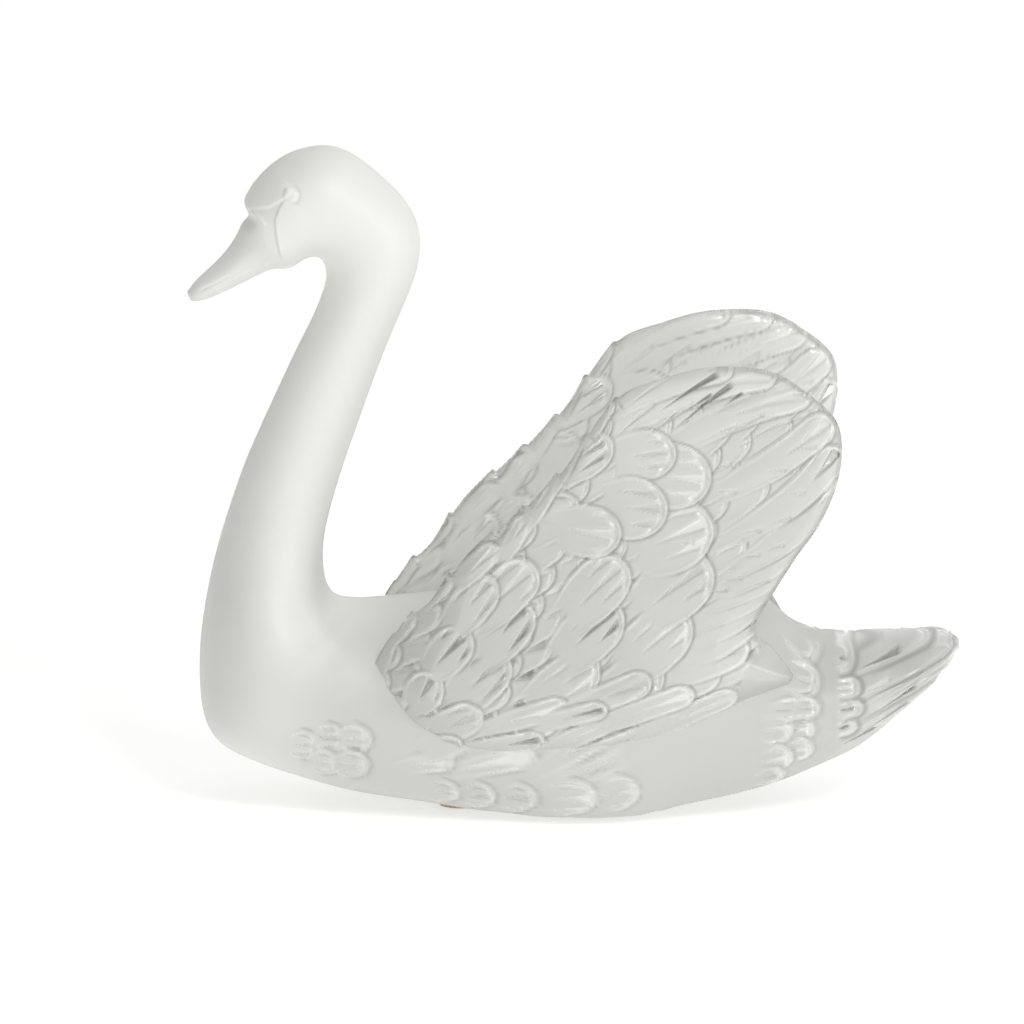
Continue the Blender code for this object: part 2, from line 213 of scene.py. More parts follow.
# Head. The bill base is the forehead's overhang above the bill and the dent under it: place, rise and radius.
BILL_BASE = (((-121.5, 224.5), 0.8, 2.4), ((-120.0, 219.0), -2.0, 2.6))
HEAD_BACK = -90.0
HEAD_LOW = 185.0
EYE = (-103.9, 230.5)
EYE_RADIUS = 2.4
EYE_RISE = 0.8
CHEEK_LINE = (
    (-105.5, 229.5), (-108.2, 225.3), (-109.6, 221.3), (-109.2, 215.6), (-108.1, 209), (-106.5, 203),
)
BROW_LINE = ((-124, 222.2), (-116.3, 224.4), (-111.7, 225.5), (-106.0, 228.8), (-102.5, 232.5))
LORE_LINE = ((-119, 223), (-116.5, 222.2), (-114.5, 220.8), (-113.2, 218.4))
MOUTH_LINE = ((-140, 189.5), (-136, 192.5), (-128, 197), (-118, 201.3), (-112, 203.5))
BILL_ROUND_START = 138.5
TAIL_ROUND_START = 138.0

# Light through and off the crystal
CRYSTAL_IOR = 1.54
GRAIN_SCALE = 2200.0       # grains to the metre
SATIN_ROUGH = 0.45
POLISHED_ROUGH = 0.04
SATIN_THROUGH = 0.28
CLEAR_THROUGH = 0.95
CORK_SCALE = 900.0
# Polish mixes the crystal's colour towards this near-white: a painted highlight for the glints off polished
# facets.
POLISHED_HIGHLIGHT_TONE = "#fdfdf9"
# Painted shade and painted dark reflections (crevices, cuts, streaks, rims, the hull's rear) mix the colour
# towards this grey.
PAINTED_SHADE_TONE = "#6f706c"
DARKEST_PAINTED_SHADE = (2.0, 0.9)       # a painted-shade value of 2 is mixed nine tenths of the way to the painted shade tone

# Studio, in metres
AIM = (0.0, 0.0, 0.1)
FLOOR_RADIUS = 12.0
FLOOR_GLOW = 0.45
WORLD_LEFT = 0.14
WORLD_RIGHT = 0.4
WORLD_MIDDLE = ((0.25, 0.5), (0.48, 1.0), (0.7, 1.0))
CAMERA_TARGET = (-0.0227, 0.0, 0.1074)
CAMERA_RISE = 12.0
CAMERA_AWAY = 9.435


def swan_point(point):
    """A drawn point (x, z) carried to the real swan's length and height."""
    return (point[0] * LONG, point[1] * TALL)


# ---------------------------------------------------------------- curves and grids

def between(before, start, end, after, share):
    """A smooth value between start and end that also heeds the value on each side of them."""
    square = share * share
    cube = square * share
    return (
        (2 * cube - 3 * square + 1) * start
        + (cube - 2 * square + share) * (end - before) / 2.0
        + (3 * square - 2 * cube) * end
        + (cube - square) * (after - start) / 2.0
    )


def smooth_step(low, high, value):
    share = np.clip((value - low) / (high - low), 0.0, 1.0)
    return share * share * (3.0 - 2.0 * share)


def outline_side(first, last, steps=12):
    """The wing's outline from one of its points to a later one, as a smooth run of (x, z)."""
    count = len(WING_OUTLINE)
    points = np.array([swan_point(point) for point in WING_OUTLINE])
    run = []
    index = first
    while index % count != last % count:
        corners = [points[(index + offset) % count] for offset in (-1, 0, 1, 2)]
        run += [between(*corners, step / steps) for step in range(steps)]
        index += 1
    run.append(points[last % count])
    return np.array(run)


def along(run, shares):
    """Points at the given shares of a run's length."""
    lengths = np.concatenate([[0.0], np.cumsum(np.hypot(*np.diff(run, axis=0).T))])
    wanted = shares * lengths[-1]
    return np.stack([np.interp(wanted, lengths, run[:, axis]) for axis in (0, 1)], axis=-1)


def wing_patch(u, v):
    """A point of the wing seen from the side, from two shares: u front to rear and v bottom to top."""
    front, wrist, rear, lobe = WING_CORNERS
    left = along(outline_side(front, wrist), v)
    top = along(outline_side(wrist, rear), u)
    right = along(outline_side(rear, lobe), 1.0 - v)
    bottom = along(outline_side(lobe, front), 1.0 - u)
    corner = {name: np.array(swan_point(WING_OUTLINE[index])) for name, index in
              (("front", front), ("wrist", wrist), ("rear", rear), ("lobe", lobe))}
    u = u[:, None]
    v = v[:, None]
    ruled = (1 - v) * bottom + v * top + (1 - u) * left + u * right
    twist = (
        (1 - u) * (1 - v) * corner["front"]
        + u * (1 - v) * corner["lobe"]
        + (1 - u) * v * corner["wrist"]
        + u * v * corner["rear"]
    )
    return ruled - twist


def wing_flat(u, v):
    """The wing's flat shape, averaged a little inside the rim so that no crease runs in from a corner."""
    reach = np.minimum(PATCH_BLUR, np.minimum(np.minimum(u, 1.0 - u), np.minimum(v, 1.0 - v)))
    total = 0.0
    for step in range(8):
        turn = step * math.pi / 4.0
        for share in (0.5, 1.0):
            total = total + wing_patch(u + share * reach * math.cos(turn), v + share * reach * math.sin(turn))
    return total / 16.0


def nearest_on(points, run):
    """How far each point is from the nearest of a run of closely spaced points, and which one that is."""
    away = np.empty(len(points))
    which = np.empty(len(points), int)
    for start in range(0, len(points), 4000):
        part = points[start:start + 4000]
        square = ((part[:, None, :] - run[None, :, :]) ** 2).sum(-1)
        which[start:start + 4000] = square.argmin(1)
        away[start:start + 4000] = np.sqrt(square.min(1))
    return away, which


def rim_of_wing():
    """The wing's outline, its outward directions, and how far feather tips push it out at each point."""
    corners = WING_CORNERS + WING_CORNERS[:1]
    rim = np.concatenate([outline_side(first, last)[:-1] for first, last in zip(corners, corners[1:])])
    ahead = np.roll(rim, -3, axis=0) - np.roll(rim, 3, axis=0)
    ahead /= np.hypot(*ahead.T)[:, None]
    outward = np.stack([-ahead[:, 1], ahead[:, 0]], axis=-1)
    lengths = np.concatenate([[0.0], np.cumsum(np.hypot(*np.diff(rim, axis=0).T))])
    tips = []
    for group in TOOTHED_GROUPS:
        points = np.array([swan_point(feather[:2]) for feather in group])
        away, which = nearest_on(points, rim)
        tips += [lengths[index] for index, gap in zip(which, away) if gap < RIM_TIP_REACH]
    tips.sort()
    push = np.zeros(len(rim))
    for start, end in zip(tips, tips[1:]):
        if end - start > RIM_TOOTH_GAP:
            continue
        span = (lengths > start) & (lengths <= end)
        share = (lengths[span] - start) / max(end - start, 0.001)
        forwards = ahead[span, 0] + 0.6 * ahead[span, 1] > 0.0
        rise = np.where(forwards, share, 1.0 - share)
        push[span] = min(1.0, (end - start) / 9.0) * (rise ** 1.6 - 0.35)
    lobe = smooth_step(26.0, 32.0, np.hypot(*(rim - np.array(swan_point(LOBE_TIP))).T))
    return rim, outward, RIM_TEETH * push * lobe


# ---------------------------------------------------------------- feathers

class Relief:
    """What is pressed and cut into a face: its height, how polished and how clear it is, and how much painted
    shade greys it; polish also paints it whiter, a painted highlight.
    """

    def __init__(self, x, z, edge=FINE_EDGE):
        self.edge = edge
        self.x = x
        self.z = z
        self.height = np.zeros(len(x))
        self.polish_and_highlight = np.zeros(len(x))
        self.clear = np.zeros(len(x))
        self.painted_shade = np.zeros(len(x))

    def feather_place(self, feather):
        """Which points are near a feather, and how far along and across it they are."""
        tip_x, tip_z, heading, length, _, bend = feather
        tip_x, tip_z = swan_point((tip_x, tip_z))
        turn = math.radians(heading)
        near = (np.abs(self.x - tip_x) < length * 1.3) & (np.abs(self.z - tip_z) < length * 1.3)
        dx = self.x[near] - tip_x
        dz = self.z[near] - tip_z
        s = length + dx * math.cos(turn) + dz * math.sin(turn)
        t = -dx * math.sin(turn) + dz * math.cos(turn)
        return near, s, t - bend * np.clip(1.0 - s / length, 0.0, 1.4) ** 2

    def lay(self, near, cover, height, polish_and_highlight, clear, painted_shade):
        """Puts new values over the old ones, as far as cover says."""
        layers = (self.height, self.polish_and_highlight, self.clear, self.painted_shade)
        for layer, value in zip(layers, (height, polish_and_highlight, clear, painted_shade)):
            layer[near] = layer[near] * (1.0 - cover) + value * cover

    def feather(self, feather, style):
        """Lays one feather on: a rounded blade with a polished collar, a comb of wedge cuts and a crevice."""
        tip_x, tip_z, _, length, width, _ = feather
        teeth, lift, roundness, collar, wedge_start = style
        near, s, t = self.feather_place(feather)
        share = np.clip(s / length, 0.0, 1.0)
        tip_length = min(width * 0.62, length * 0.6)
        half = width / 2.0 * (0.72 + 0.28 * smooth_step(0.0, 0.5, share))
        past = np.clip(s - (length - tip_length), 0.0, None) / tip_length
        inside = (1.0 - np.hypot(past, t / half)) * half
        cover = smooth_step(-self.edge, self.edge, inside) * smooth_step(0.0, 0.22, share)
        cover = np.where(s < 0.0, 0.0, cover)

        dome = lift * (0.2 + 0.8 * share) * (1.0 - roundness * np.clip(t / half, -1.0, 1.0) ** 2)
        rim = 0.3 * np.exp(-(((inside - 0.7) / 0.6) ** 2))
        place = t * teeth / width + 0.5
        tooth = np.floor(place)
        across = np.abs(place - tooth - 0.5) * 2.0
        start = wedge_start + 0.13 * np.sin(tooth * 2.4 + tip_x) + 0.12 * np.abs(t) / half
        opening = np.clip((share - start) / (0.95 - start), 0.0, 1.0)
        wedge = smooth_step(-0.15, 0.25, opening * 0.75 - across) * (opening > 0.0)
        bed = smooth_step(collar + 0.5, collar - 0.5, inside) * smooth_step(0.7, 0.88, share)
        cut = np.clip(wedge * smooth_step(0.6, 1.6, inside) + bed * smooth_step(0.4, 1.1, inside), 0.0, 1.0)

        # A real groove runs just outside the blade, and is also painted grey along it: painted shade in the
        # groove.
        crevice = np.exp(-(((inside + self.edge) / self.edge) ** 2))
        crevice = crevice * smooth_step(0.25, 0.6, share) * (s > 0.0)
        self.height[near] -= 0.45 * crevice
        self.painted_shade[near] = np.maximum(self.painted_shade[near], crevice)
        glass = 0.5 + 0.5 * math.sin(tip_x * 1.7 + tip_z * 2.3)
        self.lay(
            near,
            cover,
            dome + rim - 0.9 * cut,
            np.clip(cut + 0.95 * np.exp(-(((inside - 0.9) / 0.8) ** 2)) * share, 0.0, 1.0),
            cut * glass * smooth_step(collar * 0.4, collar + 0.8, inside),
            0.0,
        )

    def nick(self, nick, cut_style):
        """Cuts one wedge, pointed towards its root."""
        _, _, _, length, width, _ = nick
        depth, clear, painted_shade = cut_style
        near, s, t = self.feather_place(nick)
        share = s / length
        cut = smooth_step(0.0, 0.6, width / 2.0 * np.clip(share, 0.0, 1.0) - np.abs(t)) * (share > 0.0)
        cut = cut * smooth_step(1.0, 0.9, share)
        self.height[near] -= depth * cut
        # The cut is polished, which also paints it whiter as a highlight, and greyed by painted shade as its
        # style gives.
        self.polish_and_highlight[near] = np.maximum(self.polish_and_highlight[near], cut)
        self.clear[near] = np.maximum(self.clear[near], clear * cut)
        self.painted_shade[near] = np.maximum(self.painted_shade[near], painted_shade * cut)


def under_feathers():
    """Small feathers in staggered rows that fill what the big ones leave bare."""
    rows = []
    for row, offset in enumerate(range(90, -95, -11)):
        for step in range(15):
            x = offset + (step - 4) * 4.0
            z = 24 + step * 11 + (row % 2) * 5.5
            heading = 18 + 30 * (z - 24) / 150
            rows.append((x, z, heading, 24, 13, 0))
    return rows


def wing_relief(x, z):
    """A wing's two faces: small feathers, the groups laid over them, the wedge cuts and the plain lobe."""
    relief = Relief(x, z)
    for feather in under_feathers():
        relief.feather(feather, UNDER_STYLE)
    for group, style in WING_GROUPS:
        for feather in group:
            relief.feather(feather, style)
    for nick in PRIMARY_NICKS:
        relief.nick(nick, NICK_CUT)
    for groove in PRIMARY_GROOVES:
        relief.nick(groove, GROOVE_CUT)
    lobe, _ = line_distance(x, z, LOBE_RIDGE)
    lobe_x, lobe_z = swan_point(LOBE_TIP)
    near = smooth_step(LOBE_RADIUS, LOBE_RADIUS - LOBE_BLEND, np.hypot(x - lobe_x, z - lobe_z))
    facets = 1.6 - np.abs(lobe) * np.where(lobe > 0.0, 0.22, 0.14)
    everywhere = np.ones(len(x), bool)
    # The lobe is polished, so painted whiter, and its upper facet is painted grey: painted shade on one side
    # of the ridge.
    relief.lay(everywhere, near, facets, 0.6, 0.3 * (lobe < 0.0), 0.7 * smooth_step(0.0, 1.0, lobe))
    return relief


def hull_relief(x, z):
    """Scales on the hull, and the lowest side feathers carried a little past the wing's rim on to it."""
    relief = Relief(x, z, COARSE_EDGE)
    for group in (LONG_SIDE_FEATHERS, SHOULDER_COVERTS):
        for feather in group:
            low = (feather[0] - 3.0, feather[1] - 7.0) + feather[2:]
            relief.feather(low, RUN_ON_STYLE)
    away, _ = nearest_on(np.stack([x, z], axis=-1), rim_of_wing()[0])
    near = smooth_step(11.0, 5.0, away) * smooth_step(24.0 * LONG, 6.0 * LONG, x)
    for layer in (relief.height, relief.polish_and_highlight, relief.clear, relief.painted_shade):
        layer *= near
    for feather in HULL_SCALES:
        relief.feather(feather, HULL_STYLE)
    relief.clear *= 0.5
    return relief


def tail_relief(x, z):
    """The tail's fan of long blades, the scales over their roots and the wedges cut between them."""
    relief = Relief(x, z, COARSE_EDGE)
    for feather in TAIL_FEATHERS:
        relief.feather(feather, TAIL_STYLE)
    for feather in TAIL_ROOT_FEATHERS:
        relief.feather(feather, HULL_STYLE)
    for index, wedge in enumerate(TAIL_CUTS):
        relief.nick(wedge, TAIL_CLEAR_CUT if index % 2 else TAIL_SATIN_CUT)
    return relief


def line_distance(x, z, line):
    """Signed distance to a drawn line, and the share of the line reached; positive is on its left."""
    best = np.full(len(x), 1000.0)
    signed = np.full(len(x), 1000.0)
    reached = np.zeros(len(x))
    points = [swan_point(point) for point in line]
    for index, (start, end) in enumerate(zip(points, points[1:])):
        run_x = end[0] - start[0]
        run_z = end[1] - start[1]
        span = run_x * run_x + run_z * run_z
        share = np.clip(((x - start[0]) * run_x + (z - start[1]) * run_z) / span, 0.0, 1.0)
        away_x = x - start[0] - share * run_x
        away_z = z - start[1] - share * run_z
        away = np.hypot(away_x, away_z)
        side = np.sign(run_x * away_z - run_z * away_x)
        closer = away < best
        best = np.where(closer, away, best)
        signed = np.where(closer, away * side, signed)
        reached = np.where(closer, (index + share) / (len(points) - 1), reached)
    return signed, reached


def head_relief(x, z):
    """The eye, the edge where the feathers end behind the bill, the brow and the mouth."""
    eye_x, eye_z = swan_point(EYE)
    from_eye = np.hypot(x - eye_x, z - eye_z)
    height = EYE_RISE * np.sqrt(np.clip(1.0 - (from_eye / EYE_RADIUS) ** 2, 0.0, 1.0))
    height -= 0.3 * np.exp(-(((from_eye - EYE_RADIUS - 0.6) / 0.6) ** 2))
    signed, reached = line_distance(x, z, CHEEK_LINE)
    fade = smooth_step(0.0, 0.08, reached) * smooth_step(1.0, 0.75, reached)
    height += fade * 0.9 * smooth_step(-0.5, 0.5, signed) * np.exp(-np.clip(signed, 0.0, None) / 7.0)
    signed, reached = line_distance(x, z, BROW_LINE)
    fade = smooth_step(1.0, 0.9, reached)
    height += fade * 0.8 * smooth_step(-0.5, 0.5, signed) * np.exp(-np.clip(signed, 0.0, None) / 6.0)
    signed, reached = line_distance(x, z, LORE_LINE)
    fade = smooth_step(0.0, 0.2, reached) * smooth_step(1.0, 0.8, reached)
    height += fade * 0.6 * np.exp(-((signed / 0.8) ** 2))
    signed, reached = line_distance(x, z, MOUTH_LINE)
    fade = smooth_step(0.0, 0.25, reached) * smooth_step(1.0, 0.6, reached)
    height -= fade * 0.25 * np.exp(-((signed / 0.6) ** 2))
    return height


def bill_base_relief(x, z):
    """The overhang of the forehead above the bill, and the dent under it."""
    height = np.zeros(len(x))
    for spot, rise, radius in BILL_BASE:
        spot_x, spot_z = swan_point(spot)
        height += rise * np.exp(-(np.hypot(x - spot_x, z - spot_z) / radius) ** 2)
    return height


# ---------------------------------------------------------------- meshes

def new_piece(name, mesh):
    """A smooth-shaded object at the origin, made from a bmesh, which is freed."""
    data = bpy.data.meshes.new(name)
    mesh.to_mesh(data)
    mesh.free()
    data.shade_smooth()
    piece = bpy.data.objects.new(name, data)
    bpy.context.scene.collection.objects.link(piece)
    return piece


def vertex_values(piece, name):
    flat = np.empty(len(piece.data.vertices) * 3, np.float32)
    piece.data.vertices.foreach_get(name, flat)
    return flat.reshape(-1, 3).astype(float)


def points_of(piece):
    return vertex_values(piece, "co")


def normals_of(piece):
    return vertex_values(piece, "normal")


def move_points(piece, points):
    piece.data.vertices.foreach_set("co", points.astype(np.float32).ravel())
    piece.data.update()


def store(piece, name, values):
    layer = piece.data.attributes.new(name, "FLOAT", "POINT")
    layer.data.foreach_set("value", values.astype(np.float32))


def store_finish_and_painted_light(piece, relief, share):
    """Keeps the relief's finish, painted highlight and painted shade on the piece's points, where the crystal
    material reads them.
    """
    store(piece, "polish_and_highlight", relief.polish_and_highlight * share)
    store(piece, "clear", relief.clear * share)
    store(piece, "painted_shade", relief.painted_shade * share)


def wing_outer_y(x, z):
    """How far the wing's outer face stands from the swan's middle plane, before its relief."""
    low = WING_LOW_Z * TALL
    rise = (z - low) / ((WING_TOP_Z - WING_LOW_Z) * TALL)
    away = (x - WING_WIDEST_X * LONG) / (WING_REACH * LONG)
    y = WING_HALF_SPAN - WING_LEAN * np.clip(z - low, 0.0, None)
    front = -WING_FRONT_TUCK * (0.3 * -away + 0.7 * away * away)
    lobe = np.clip((WING_LOBE_RISE - rise) / WING_LOBE_RISE, 0.0, 1.0)
    rear = away * away * (WING_REAR_FLARE * (1.6 * rise - 0.6) - WING_LOBE_TUCK * lobe)
    return y + np.where(away < 0.0, front, rear)


def wing_thickness(z):
    """The wing's thickness, which falls from its seat in the flank to its top."""
    share = np.clip((z - WING_LOW_Z * TALL) / ((WING_TOP_Z - WING_LOW_Z) * TALL), 0.0, 1.0)
    low_thickness = WING_PROUD + WING_SEAT
    return low_thickness + (WING_TOP_THICKNESS - low_thickness) * share


def wing_slab():
    """Two grids, a fine outer face at height 0 and a coarser inner one at height -1, joined at the rims."""
    mesh = bmesh.new()
    bmesh.ops.create_grid(mesh, x_segments=WING_OUTER_GRID[0], y_segments=WING_OUTER_GRID[1], size=0.5)
    outer = set(mesh.verts)
    bmesh.ops.create_grid(
        mesh, x_segments=WING_INNER_GRID[0], y_segments=WING_INNER_GRID[1], size=0.5 - RIM_STRIP
    )
    inner = [vert for vert in mesh.verts if vert not in outer]
    bmesh.ops.translate(mesh, vec=(0.0, 0.0, -1.0), verts=inner)
    rims = [edge for edge in mesh.edges if edge.is_boundary]
    bmesh.ops.bridge_loops(mesh, edges=rims)
    bmesh.ops.recalc_face_normals(mesh, faces=mesh.faces)
    return mesh


def make_wing(name, side, streaks):
    """A wing of two faces that meet at a rounded, feather-toothed rim, with feathers in relief on both."""
    piece = new_piece(name, wing_slab())
    place = points_of(piece)
    outer = place[:, 2] > -0.5
    flat = wing_flat(np.clip(place[:, 0] + 0.5, 0, 1), np.clip(place[:, 1] + 0.5, 0, 1))
    rim, outward, push = rim_of_wing()
    edge, which = nearest_on(flat, rim)
    flat = flat + outward[which] * (push[which] * smooth_step(RIM_FADE, 0.0, edge))[:, None]
    x, z = flat.T
    lowness = np.clip((WING_FREE_Z * TALL - z) / (WING_FREE_RANGE * TALL), 0.0, 1.0)
    rounding = 6.0 + 16.0 * lowness
    inward = np.clip(1.0 - edge / rounding, 0.0, 1.0)
    fullness = (1.0 - lowness) * np.sqrt(1.0 - inward ** 2) + lowness * (1.0 - inward ** 1.7)
    half = wing_thickness(z) / 2.0
    middle = wing_outer_y(x, z) - half - (WING_LOW_TUCK + WING_RIM_SINK) * lowness * inward
    relief = wing_relief(x, z)
    # The streaks' painted dark reflection is kept to the outer face; the inner face keeps its plain painted
    # shade.
    plain = relief.painted_shade.copy()
    for streak in streaks:
        relief.nick(streak, STREAK_CUT)
    relief.painted_shade = np.where(outer, relief.painted_shade, plain)
    rise = (relief.height - 0.7) * smooth_step(0.0, 2.5, edge)
    y = np.where(outer, middle + half * fullness + rise, middle - half * fullness - 0.8 * rise)
    move_points(piece, np.stack([x, side * y, z], axis=-1) * MM)
    # The wing is polished more towards its top, which also paints it whiter there as a highlight.
    relief.polish_and_highlight = np.maximum(relief.polish_and_highlight, 0.15 + 0.3 * smooth_step(90.0, 170.0, z))
    relief.polish_and_highlight = np.maximum(relief.polish_and_highlight, np.where(outer, 0.0, 0.6))   # inner faces get more polish, so they are painted whiter: a painted highlight that makes them the brighter ones
    relief.clear = np.maximum(relief.clear, 0.1 * smooth_step(70.0, 170.0, z))
    # A thin band along the rear rim is painted grey: painted shade at the edge.
    rear_rim_shade = np.exp(-(((edge - 1.0) / 0.8) ** 2)) * smooth_step(45.0 * LONG, 70.0 * LONG, x)
    relief.painted_shade = np.maximum(relief.painted_shade, 0.8 * rear_rim_shade)
    store_finish_and_painted_light(piece, relief, 1.0)

    mesh = bmesh.new()
    mesh.from_mesh(piece.data)
    bmesh.ops.recalc_face_normals(mesh, faces=mesh.faces)
    mesh.to_mesh(piece.data)
    mesh.free()
    piece.data.shade_smooth()
    return piece


def casting_from_frame(name, node, levels, neighbours):
    """A smooth copy of a frame piece: facets joined and subdivided, its bond edges and foot kept crisp."""
    mesh = bmesh.new()
    mesh.from_mesh(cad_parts[node].data)
    bmesh.ops.remove_doubles(mesh, verts=mesh.verts, dist=0.00001)
    bmesh.ops.join_triangles(
        mesh,
        faces=mesh.faces,
        angle_face_threshold=math.radians(40),
        angle_shape_threshold=math.radians(50),
    )
    crease = mesh.edges.layers.float.new("crease_edge")
    for edge in mesh.edges:
        if len(edge.link_faces) != 2 or edge.calc_face_angle() < math.radians(50):
            continue
        away = [max(tree.find_nearest(vert.co)[3] for vert in edge.verts) for tree in neighbours]
        if min(away) < BOND_REACH * MM or max(vert.co.z for vert in edge.verts) < FOOT_TOP * MM:
            edge[crease] = 1.0
            edge.smooth = False
    piece = new_piece(name, mesh)
    smooth = piece.modifiers.new("smooth", "SUBSURF")
    smooth.levels = levels
    smooth.render_levels = levels
    bpy.context.view_layer.update()
    shaped = bpy.data.meshes.new_from_object(piece.evaluated_get(bpy.context.evaluated_depsgraph_get()))
    piece.modifiers.clear()
    piece.data = shaped
    return piece


def refine_head(piece):
    """Halves the head's faces, so that the eye and the fine lines have room."""
    mesh = bmesh.new()
    mesh.from_mesh(piece.data)
    head = [
        edge for edge in mesh.edges
        if all(vert.co.x < HEAD_BACK * LONG * MM and vert.co.z > HEAD_LOW * TALL * MM for vert in edge.verts)
    ]
    bmesh.ops.subdivide_edges(mesh, edges=head, cuts=1, use_grid_fill=True)
    mesh.to_mesh(piece.data)
    mesh.free()


def round_end(piece, side, start):
    """Rounds a casting's blunt end: sections beyond start, in mm along X, shrink as on an ellipsoid."""
    points = points_of(piece) / MM
    reach = side * points[:, 0]
    end = reach.max()
    past = reach > start
    share = np.clip((reach - start) / (end - start), 0.0, 1.0)
    centre_z = points[reach > end - 0.3, 2].mean()
    shrink = np.sqrt(1.0 - 0.94 * share[past] ** 2)
    middle = centre_z + (1.0 - share[past]) * (points[past, 2] - centre_z)
    points[past, 1] *= shrink
    points[past, 2] = middle + (points[past, 2] - middle) * shrink
    move_points(piece, points * MM)


# ---------------------------------------------------------------- materials

def linear(code):
    """An sRGB hex colour as the linear numbers a shader takes."""
    parts = [int(code[start:start + 2], 16) / 255.0 for start in (1, 3, 5)]
    return [part / 12.92 if part <= 0.04045 else ((part + 0.055) / 1.055) ** 2.4 for part in parts] + [1.0]


def add_node(tree, kind, settings=None, links=None):
    """Adds a node, sets its properties and sockets, and links sockets from (node, output) pairs."""
    made = tree.nodes.new(kind)
    for key, value in (settings or {}).items():
        if isinstance(key, str) and hasattr(made, key):
            setattr(made, key, value)
        else:
            made.inputs[key].default_value = value
    for socket, (source, output) in (links or {}).items():
        tree.links.new(source.outputs[output], made.inputs[socket])
    return made


def new_material(name):
    material = bpy.data.materials.new(name)
    material.use_nodes = True
    tree = material.node_tree
    tree.nodes.clear()
    return material, tree


def crystal(name, satin_tint):
    """Lead crystal, etched satin except where the piece's own values make it polished, clear, painted whiter
    or painted grey.

    The etched grain is a few thousandths of a millimetre across in life, and is drawn far coarser, at about
    half a millimetre, so that it is there at all. The grey is painted: a painted dark reflection of the
    room's dark side, which a deep cut sends back to the eye, and painted shade in crevices, on rims and on
    the hull. Polish also mixes the colour towards near-white, a painted highlight.
    """
    material, tree = new_material(name)
    where = add_node(tree, "ShaderNodeTexCoord")
    polish_and_highlight, clear, painted_shade = [
        add_node(tree, "ShaderNodeAttribute", {"attribute_name": value})
        for value in ("polish_and_highlight", "clear", "painted_shade")
    ]
    grain = add_node(
        tree, "ShaderNodeTexNoise", {"Scale": GRAIN_SCALE, "Detail": 2.0}, {"Vector": (where, "Object")}
    )
    bump = add_node(
        tree, "ShaderNodeBump", {"Strength": 0.08, "Distance": 0.2 * MM}, {"Height": (grain, "Fac")}
    )
    rough = add_node(
        tree,
        "ShaderNodeMapRange",
        {"To Min": SATIN_ROUGH, "To Max": POLISHED_ROUGH},
        {"Value": (polish_and_highlight, "Fac")},
    )
    through = add_node(
        tree,
        "ShaderNodeMapRange",
        {"To Min": SATIN_THROUGH, "To Max": CLEAR_THROUGH},
        {"Value": (clear, "Fac")},
    )
    # Polish mixes the satin tint towards near-white: a painted highlight.
    tone = add_node(tree, "ShaderNodeValToRGB", {}, {"Fac": (polish_and_highlight, "Fac")})
    tone.color_ramp.elements[0].color = linear(satin_tint)
    tone.color_ramp.elements[1].color = linear(POLISHED_HIGHLIGHT_TONE)
    # Painted shade and painted dark reflections mix the colour towards the painted shade tone.
    darker = add_node(
        tree,
        "ShaderNodeMapRange",
        {"From Max": DARKEST_PAINTED_SHADE[0], "To Min": 0.0, "To Max": DARKEST_PAINTED_SHADE[1]},
        {"Value": (painted_shade, "Fac")},
    )
    tint = add_node(
        tree,
        "ShaderNodeMix",
        {"data_type": "RGBA", "blend_type": "MIX"},
        {0: (darker, "Result"), 6: (tone, "Color")},
    )
    tint.inputs[7].default_value = linear(PAINTED_SHADE_TONE)
    shader = add_node(
        tree,
        "ShaderNodeBsdfPrincipled",
        {"IOR": CRYSTAL_IOR},
        {
            "Base Color": (tint, 2),
            "Roughness": (rough, "Result"),
            "Transmission Weight": (through, "Result"),
            "Normal": (bump, "Normal"),
        },
    )
    add_node(tree, "ShaderNodeOutputMaterial", {}, {"Surface": (shader, "BSDF")})
    return material


def bonded_face():
    """The face under a bond: clear adhesive matched to the crystal, so light passes straight on."""
    material, tree = new_material("clear_adhesive_index_matched")
    clear = add_node(tree, "ShaderNodeBsdfTransparent")
    add_node(tree, "ShaderNodeOutputMaterial", {}, {"Surface": (clear, "BSDF")})
    return material


def pressed_cork():
    """Cork, ground and pressed: tan grains about a millimetre across, quite matt."""
    material, tree = new_material("cork_pressed_sheet")
    where = add_node(tree, "ShaderNodeTexCoord")
    grains = add_node(tree, "ShaderNodeTexVoronoi", {"Scale": CORK_SCALE}, {"Vector": (where, "Object")})
    colour = add_node(tree, "ShaderNodeValToRGB", {}, {"Fac": (grains, "Distance")})
    colour.color_ramp.elements[0].color = linear("#dcc8a6")
    colour.color_ramp.elements[1].color = linear("#a98a63")
    bump = add_node(
        tree, "ShaderNodeBump", {"Strength": 0.5, "Distance": 0.3 * MM}, {"Height": (grains, "Distance")}
    )
    shader = add_node(
        tree,
        "ShaderNodeBsdfPrincipled",
        {"Roughness": 0.92},
        {"Base Color": (colour, "Color"), "Normal": (bump, "Normal")},
    )
    add_node(tree, "ShaderNodeOutputMaterial", {}, {"Surface": (shader, "BSDF")})
    return material


def studio_floor():
    """Matt white paper, lit a little from below so that the swan's shadow stays soft and pale."""
    material, tree = new_material("matt_white_paper")
    shader = add_node(
        tree,
        "ShaderNodeBsdfPrincipled",
        {
            "Base Color": linear("#e4e4e2"),
            "Roughness": 0.8,
            "Emission Color": linear("#ffffff"),
            "Emission Strength": FLOOR_GLOW,
        },
    )
    add_node(tree, "ShaderNodeOutputMaterial", {}, {"Surface": (shader, "BSDF")})
    return material


# ---------------------------------------------------------------- bonds

def solid_tree(piece):
    """A search tree of a piece's surface, with its doubled points merged."""
    mesh = bmesh.new()
    mesh.from_mesh(piece.data)
    bmesh.ops.remove_doubles(mesh, verts=mesh.verts, dist=0.00001)
    tree = BVHTree.FromBMesh(mesh)
    mesh.free()
    return tree


